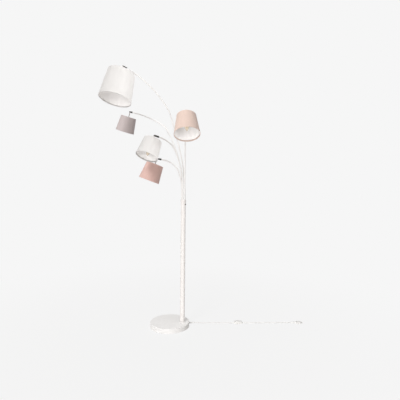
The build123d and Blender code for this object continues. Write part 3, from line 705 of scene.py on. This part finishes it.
def smooth_line(points, steps):
    """A Catmull-Rom line through the points."""
    line = []
    for k in range(len(points) - 1):
        a, b = points[max(k - 1, 0)], points[k]
        c, d = points[k + 1], points[min(k + 2, len(points) - 1)]
        for step in range(steps):
            t = step / steps
            weights = (
                (-t + 2 * t**2 - t**3) / 2,
                (2 - 5 * t**2 + 3 * t**3) / 2,
                (t + 4 * t**2 - 3 * t**3) / 2,
                (-(t**2) + t**3) / 2,
            )
            line.append(tuple(sum(w * p[i] for w, p in zip(weights, (a, b, c, d))) for i in (0, 1)))
    return line + [points[-1]]


glass_outer = smooth_line(GLASS_OUTLINE, 4)
glass_inner = [(max(radius - GLASS_WALL, 0), depth + 0.1) for radius, depth in glass_outer[:-2]]
glass_inner.append((0, GLASS_OUTLINE[-1][1] - GLASS_WALL))

for lamp in LAMPS:
    name, top = lamp[0], lamp[5]
    head, _ = PLACES[name]
    drop = head @ Matrix.Translation((0, 0, top * MM))
    glass = turned(f"{name}_glass", glass_outer + glass_inner[::-1], 48, drop, amber_glass, closed=True)
    settle(glass, f"{name}_head", "bulb_glass", f"{name}_bulb")
    cap = turned(f"{name}_lamp_cap", CAP_OUTLINE, 48, drop, pin_nickel)
    cap.data.set_sharp_from_angle(angle=math.radians(35))
    settle(cap, f"{name}_head", "pin_nickel")
    mount = turned(f"{name}_filament_mount", MOUNT_OUTLINE, 24, drop, holder_white)
    settle(mount, f"{name}_head", "holder_plastic")
    for k in range(FILAMENTS):
        turn = Matrix.Rotation(2 * math.pi * k / FILAMENTS, 4, "Z")
        foot = drop @ turn @ Matrix.Translation((FILAMENT_RING * MM, 0, FILAMENT_START * MM))
        filament = turned(f"{name}_filament_{k + 1}", FILAMENT_OUTLINE, 12, foot, filament_pale)
        settle(filament, f"{name}_head", "bulb_glass")
    print(glass.name, len(glass.data.polygons), "faces")

# %% [markdown]
# ## Geometry Nodes: what repeats
# Three small trees make everything that repeats. `ribs_around` stands round bars in a circle, for the
# lampholder's grip and the tilting screw's knurl. `rings_along` sets rings in a row, each a little
# smaller than the last, for the rubber boots and the sleeves. `thread_round` winds a rounded thread
# about an axis, for the lamp's cap. Every tree has named inputs for its sizes and ends in Realize
# Instances and Set Material. `from_tree` sets a modifier's inputs by their identifiers, turns the
# result into a plain mesh and moves it to its place.


# %% Trees
def new_tree(name, inputs):
    tree = bpy.data.node_groups.new(name, "GeometryNodeTree")
    tree.is_modifier = True
    tree.interface.new_socket("Geometry", in_out="OUTPUT", socket_type="NodeSocketGeometry")
    for label, kind in {**inputs, "Material": "Material"}.items():
        tree.interface.new_socket(label, in_out="INPUT", socket_type=f"NodeSocket{kind}")
    return tree, add(tree, "NodeGroupInput").outputs


def end_tree(tree, geometry, material):
    soft = add(tree, "GeometryNodeSetShadeSmooth", {0: geometry}).outputs[0]
    real = add(tree, "GeometryNodeRealizeInstances", {0: soft}).outputs[0]
    made = add(tree, "GeometryNodeSetMaterial", {"Geometry": real, "Material": material}).outputs[0]
    add(tree, "NodeGroupOutput", {0: made})
    return tree


def ribs_around_tree():
    kinds = {"Count": "Int", "Circle Radius": "Float", "Rib Radius": "Float", "Rib Length": "Float"}
    tree, given = new_tree("ribs_around", kinds)
    ring = {"Vertices": given["Count"], "Radius": given["Circle Radius"]}
    circle = add(tree, "GeometryNodeMeshCircle", ring)
    rib = add(
        tree,
        "GeometryNodeMeshCylinder",
        {"Vertices": 8, "Radius": given["Rib Radius"], "Depth": given["Rib Length"]},
    )
    both = {"Points": circle.outputs[0], "Instance": rib.outputs["Mesh"]}
    stood = add(tree, "GeometryNodeInstanceOnPoints", both)
    return end_tree(tree, stood.outputs[0], given["Material"])


def rings_along_tree():
    kinds = {"Count": "Int"}
    kinds.update(dict.fromkeys(("Pitch", "Ring Radius", "Bead Radius", "Shrink"), "Float"))
    tree, given = new_tree("rings_along", kinds)
    step = add(tree, "ShaderNodeCombineXYZ", {"Z": given["Pitch"]}).outputs[0]
    line = add(tree, "GeometryNodeMeshLine", {"Count": given["Count"], "Offset": step})
    ring = add(tree, "GeometryNodeCurvePrimitiveCircle", {"Resolution": 48, "Radius": given["Ring Radius"]})
    bead = add(tree, "GeometryNodeCurvePrimitiveCircle", {"Resolution": 10, "Radius": given["Bead Radius"]})
    tube = add(tree, "GeometryNodeCurveToMesh", {"Curve": ring.outputs[0], "Profile Curve": bead.outputs[0]})
    number = add(tree, "GeometryNodeInputIndex").outputs[0]
    scale = math_node(tree, "SUBTRACT", 1.0, math_node(tree, "MULTIPLY", number, given["Shrink"]))
    stood = add(
        tree,
        "GeometryNodeInstanceOnPoints",
        {"Points": line.outputs[0], "Instance": tube.outputs[0], "Scale": scale},
    )
    return end_tree(tree, stood.outputs[0], given["Material"])


def thread_round_tree():
    kinds = {"Turns": "Float", "Radius": "Float", "Height": "Float", "Bead Radius": "Float"}
    tree, given = new_tree("thread_round", kinds)
    spiral = add(
        tree,
        "GeometryNodeCurveSpiral",
        {
            "Resolution": 32,
            "Rotations": given["Turns"],
            "Start Radius": given["Radius"],
            "End Radius": given["Radius"],
            "Height": given["Height"],
        },
    )
    bead = add(tree, "GeometryNodeCurvePrimitiveCircle", {"Resolution": 8, "Radius": given["Bead Radius"]})
    tube = add(
        tree,
        "GeometryNodeCurveToMesh",
        {"Curve": spiral.outputs[0], "Profile Curve": bead.outputs[0], "Fill Caps": True},
    )
    return end_tree(tree, tube.outputs[0], given["Material"])


def from_tree(name, tree, matrix, values, material):
    piece = bpy.data.objects.new(name, bpy.data.meshes.new(name))
    scene.collection.objects.link(piece)
    modifier = piece.modifiers.new(tree.name, "NODES")
    modifier.node_group = tree
    for item in tree.interface.items_tree:
        if item.in_out == "INPUT":
            modifier[item.identifier] = {**values, "Material": material}[item.name]
    bpy.context.view_layer.update()
    seen = piece.evaluated_get(bpy.context.evaluated_depsgraph_get())
    mesh = bpy.data.meshes.new_from_object(seen)
    piece.modifiers.clear()
    mesh.transform(matrix)
    piece.data = mesh
    print(name, len(mesh.polygons), "faces")
    return piece


ribs_around = ribs_around_tree()
rings_along = rings_along_tree()
thread_round = thread_round_tree()

# %% Ribs, rings and threads of the five heads
GRIP = {"Count": 28, "Circle Radius": 13.4 * MM, "Rib Radius": 0.55 * MM, "Rib Length": 24 * MM}
GRIP_MIDDLE = 34.0
KNURL = {"Count": 18, "Circle Radius": 3.95 * MM, "Rib Radius": 0.32 * MM, "Rib Length": 1.9 * MM}
KNURL_OUT = 6.85
SLEEVE_RINGS = {"Count": 3, "Pitch": 2.2 * MM, "Ring Radius": 6.45 * MM, "Bead Radius": 0.35 * MM}
SLEEVE_RINGS["Shrink"] = 0.0
SLEEVE_RING_START = -31.0
CAP_THREAD = {"Turns": 5.0, "Radius": 6.6 * MM, "Height": 14 * MM, "Bead Radius": 0.5 * MM}
CAP_THREAD_START = 35.0

for lamp in LAMPS:
    name, top = lamp[0], lamp[5]
    head, arm_end = PLACES[name]
    grip_place = head @ Matrix.Translation((0, 0, (top + GRIP_MIDDLE) * MM))
    grip = from_tree(f"{name}_holder_grip", ribs_around, grip_place, GRIP, holder_white)
    settle(grip, f"{name}_head", "holder_plastic")
    thread_place = head @ Matrix.Translation((0, 0, (top + CAP_THREAD_START) * MM))
    thread = from_tree(f"{name}_cap_thread", thread_round, thread_place, CAP_THREAD, pin_nickel)
    settle(thread, f"{name}_head", "pin_nickel")
    ring_place = arm_end @ Matrix.Translation((0, 0, SLEEVE_RING_START * MM))
    rings = from_tree(f"{name}_sleeve_rings", rings_along, ring_place, SLEEVE_RINGS, joint_black)
    settle(rings, f"{name}_branch", "joint_black")
    pin = arm_end.to_3x3() @ Vector((1, 0, 0))
    for side, label in ((1, "knob"), (-1, "nut")):
        knurl_place = place_at(arm_end.translation + pin * side * KNURL_OUT * MM, UP, pin)
        knurl = from_tree(f"{name}_{label}_knurl", ribs_around, knurl_place, KNURL, screw_steel)
        settle(knurl, f"{name}_branch", "joint_screw")

# %% [markdown]
# ## What is on the cord
# The boot at the base and the short boot on the plug are ribbed, so that they bend evenly. The plug's
# pins are sleeved for half their length. The switch has a seam where its two halves meet, and three
# raised bars on its button. The cord's own heading gives their places.

# %% Boots, plug and switch
CORD_HEADING = math.radians(1.28)
cord_way = Vector((math.cos(CORD_HEADING), math.sin(CORD_HEADING), 0))
cord_side = UP.cross(cord_way)
BOOT_ANGLE = math.radians(14)
boot_way = Vector((math.cos(BOOT_ANGLE), math.sin(BOOT_ANGLE), 0))
BOOT_HEIGHT = 11 * MM
BOOT_RINGS = {"Count": 7, "Pitch": 3.6 * MM, "Ring Radius": 5.0 * MM, "Bead Radius": 0.55 * MM}
BOOT_RINGS["Shrink"] = 0.024
BOOT_RING_START = 155 * MM
PLUG_RINGS = {"Count": 4, "Pitch": -4.2 * MM, "Ring Radius": 5.2 * MM, "Bead Radius": 0.5 * MM}
PLUG_RINGS["Shrink"] = 0.05
PLUG_RING_START = 17 * MM
PIN_SLEEVE_OUTLINE = [(0, 0), (2.2, 0), (2.25, 0.3), (2.25, 9.6), (2.1, 10), (0, 10)]
PLUG_LENGTH = 53 * MM
PIN_OFFSET = 9.3 * MM
SWITCH_MIDDLE = Vector((535.7, 62.6, 0)) * MM
BUTTON_TOP = 21 * MM
BAR_PITCH = 5 * MM
BAR_OUTLINE = [(0, -6), (0.5, -5.9), (0.7, -5.5), (0.7, 5.5), (0.5, 5.9), (0, 6)]

boot_place = place_at(boot_way * BOOT_RING_START + UP * BOOT_HEIGHT, UP, boot_way)
boot_rings = from_tree("boot_rings", rings_along, boot_place, BOOT_RINGS, sheath_white)
settle(boot_rings, "stand", "cord_white")
plug_entry = Vector(ROUTE_TO_PLUG[-1])
plug_ring_place = place_at(plug_entry + cord_way * PLUG_RING_START, UP, cord_way)
plug_rings = from_tree("plug_rings", rings_along, plug_ring_place, PLUG_RINGS, switch_white)
settle(plug_rings, "stand", "switch_plastic")

for side, label in ((1, "back"), (-1, "front")):
    start = plug_entry + cord_way * PLUG_LENGTH + cord_side * PIN_OFFSET * side
    sleeve = turned(f"pin_sleeve_{label}", PIN_SLEEVE_OUTLINE, 24, place_at(start, UP, cord_way), joint_black)
    sleeve.data.set_sharp_from_angle(angle=math.radians(40))
    settle(sleeve, "stand", "joint_black")

for k in (-1, 0, 1):
    middle = SWITCH_MIDDLE + UP * BUTTON_TOP + cord_way * BAR_PITCH * k
    bar = turned(f"button_bar_{k + 2}", BAR_OUTLINE, 16, place_at(middle, UP, cord_side), switch_white)
    settle(bar, "switch_key", "switch_plastic")
print("boot, plug and switch details made")

# %% The switch's seam
SEAM_HEIGHT = 9 * MM
SEAM_RADIUS = 0.35 * MM
SWITCH_HALF = (31 * MM, 14 * MM)
SWITCH_CORNER = 6 * MM
CORNER_STEPS = 6


def switch_seam():
    curve = bpy.data.curves.new("switch_seam", "CURVE")
    curve.dimensions = "3D"
    spline = curve.splines.new("POLY")
    points = []
    for corner, (sx, sy) in enumerate(((1, 1), (-1, 1), (-1, -1), (1, -1))):
        for k in range(CORNER_STEPS + 1):
            angle = math.pi / 2 * (corner + k / CORNER_STEPS)
            x = sx * (SWITCH_HALF[0] - SWITCH_CORNER) + SWITCH_CORNER * math.cos(angle)
            y = sy * (SWITCH_HALF[1] - SWITCH_CORNER) + SWITCH_CORNER * math.sin(angle)
            points.append(SWITCH_MIDDLE + cord_way * x + cord_side * y + UP * SEAM_HEIGHT)
    spline.points.add(len(points) - 1)
    for spot, point in zip(spline.points, points):
        spot.co = (*point, 1)
    spline.use_cyclic_u = True
    curve.bevel_depth = SEAM_RADIUS
    curve.bevel_resolution = 2
    line = bpy.data.objects.new("switch_seam_line", curve)
    mesh = bpy.data.meshes.new_from_object(line)
    bpy.data.objects.remove(line)
    return piece_from("switch_seam", mesh, switch_white)


seam = settle(switch_seam(), "stand", "switch_plastic")
print("seam", len(seam.data.polygons), "faces")

settle(lead_to_switch, "stand", "cord_white", "cord_to_switch")
settle(lead_to_plug, "stand", "cord_white", "cord_to_plug")
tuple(ROUTE_TO_SWITCH[0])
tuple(ROUTE_TO_PLUG[0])

# %% [markdown]
# ## Floor, room and light
# The background is one flat pale grey, so the floor and the room show the camera that grey directly,
# through Light Path, and mirror-like and clear surfaces see it too. Close to the lamp the floor keeps a
# share of real shading, so that the lamp still drops a faint shadow, and this share fades out with
# distance, so that no horizon shows. Other light meets a plainer, darker floor and a dim warm room.

# %% Floor and room
BACKDROP = (0.9216, 0.9216, 0.9216)
FLOOR_BOUNCE = (0.70, 0.68, 0.66)
ROOM_LIGHT = (1.0, 0.965, 0.94)
ROOM_LEVEL = 0.22
SHADOW_SHARE = 0.10
SHADOW_REACH = 2.5
FLOOR_RADIUS = 40.0


def seen_directly(tree):
    """1 for rays from the camera, off a mirror or through glass."""
    path = add(tree, "ShaderNodeLightPath")
    either = math_node(tree, "MAXIMUM", path.outputs["Is Camera Ray"], path.outputs["Is Glossy Ray"])
    return math_node(tree, "MAXIMUM", either, path.outputs["Is Transmission Ray"])


def floor_material():
    material = bpy.data.materials.new("floor_pale")
    material.use_nodes = True
    tree = material.node_tree
    tree.nodes.clear()
    place = add(tree, "ShaderNodeTexCoord").outputs["Object"]
    away = add(tree, "ShaderNodeVectorMath", {0: place}, operation="LENGTH").outputs["Value"]
    share = add(
        tree,
        "ShaderNodeMapRange",
        {"Value": away, "From Min": 0.4, "From Max": SHADOW_REACH, "To Min": SHADOW_SHARE, "To Max": 0.0},
        interpolation_type="SMOOTHSTEP",
    ).outputs["Result"]
    flat = add(tree, "ShaderNodeEmission", {"Color": (*BACKDROP, 1)}).outputs[0]
    lit = add(tree, "ShaderNodeBsdfDiffuse", {"Color": (*BACKDROP, 1)}).outputs[0]
    shown = add(tree, "ShaderNodeMixShader", {0: share, 1: flat, 2: lit}).outputs[0]
    bounce = add(tree, "ShaderNodeBsdfDiffuse", {"Color": (*FLOOR_BOUNCE, 1)}).outputs[0]
    both = add(tree, "ShaderNodeMixShader", {0: seen_directly(tree), 1: bounce, 2: shown}).outputs[0]
    add(tree, "ShaderNodeOutputMaterial", {"Surface": both})
    return material


floor_maker = bmesh.new()
bmesh.ops.create_circle(floor_maker, cap_ends=True, segments=64, radius=FLOOR_RADIUS)
floor_mesh = bpy.data.meshes.new("floor")
floor_maker.to_mesh(floor_mesh)
floor_maker.free()
floor = piece_from("floor", floor_mesh, floor_material())

world = bpy.data.worlds.new("room")
scene.world = world
world.use_nodes = True
world.node_tree.nodes.clear()
room = world.node_tree
backdrop = add(room, "ShaderNodeBackground", {"Color": (*BACKDROP, 1), "Strength": 1.0}).outputs[0]
glow = add(room, "ShaderNodeBackground", {"Color": (*ROOM_LIGHT, 1), "Strength": ROOM_LEVEL}).outputs[0]
mixed = add(room, "ShaderNodeMixShader", {0: seen_directly(room), 1: glow, 2: backdrop}).outputs[0]
add(room, "ShaderNodeOutputWorld", {"Surface": mixed})
print("floor and room ready")

# %% [markdown]
# The key light is large and soft and stands to the left of the camera, above it, so the right side of
# each shade falls off and the pole shades the base behind it, to the right. A low light from the same
# side stands for what a pale studio floor sends back up, and it reaches into the shades, so the floor
# casts no shadow for it. A weak light from above opens the shadows on level surfaces. White cloth and
# its pale liner pass light on to their shaded sides far more than coloured cloth does, so a fill light
# from the right is linked to them alone, and a second one, from below, to the liners, which scatter
# light to and fro inside each shade. The painted metal gets a weak one of its own. Sun lamps light
# every height alike, and a sun of strength pi gives a surface that faces it just its own colour, so
# each level is a share of that.


# %% Lights
PALE_FINISHES = (white_fabric, white_liner)
PAINTS = (base_paint, pole_paint, arm_paint)


def lit_by(light, finishes):
    """Links a light to the pieces that have one of these finishes."""
    pieces = bpy.data.collections.new(light.name)
    for piece in scene.objects:
        if piece.type in {"MESH", "CURVE"} and piece.data.materials[0] in finishes:
            pieces.objects.link(piece)
    light.light_linking.receiver_collection = pieces


def soft_sun(name, from_left, height, level, softness, colour):
    """from_left and height are the light's bearing, in degrees, left of and above the camera's view."""
    bearing, rise = math.radians(from_left), math.radians(height)
    level_part = Vector((-math.sin(bearing), -math.cos(bearing), 0)) * math.cos(rise)
    to_light = level_part + UP * math.sin(rise)
    lamp = bpy.data.lights.new(name, "SUN")
    lamp.energy = math.pi * level
    lamp.angle = math.radians(softness)
    lamp.color = colour
    light = bpy.data.objects.new(name, lamp)
    light.rotation_euler = to_light.to_track_quat("Z", "Y").to_euler()
    scene.collection.objects.link(light)
    return light


soft_sun("key_light", 24, 37, 0.52, 20, (1.0, 0.99, 0.98))
soft_sun("low_light", 16, -18, 0.36, 40, (1.0, 0.99, 0.98))
soft_sun("top_light", 0, 88, 0.22, 60, (1.0, 0.98, 0.96))
lit_by(soft_sun("fill_light", -80, 8, 0.88, 60, (1.0, 0.99, 0.985)), PALE_FINISHES)
lit_by(soft_sun("inner_light", 10, -30, 1.50, 90, (1.0, 0.99, 0.985)), (white_liner,))
lit_by(soft_sun("paint_light", -32, 58, 0.24, 60, (1.0, 0.99, 0.985)), PAINTS)
floor.visible_shadow = False

scene.view_settings.view_transform = "Standard"
print("six soft suns")
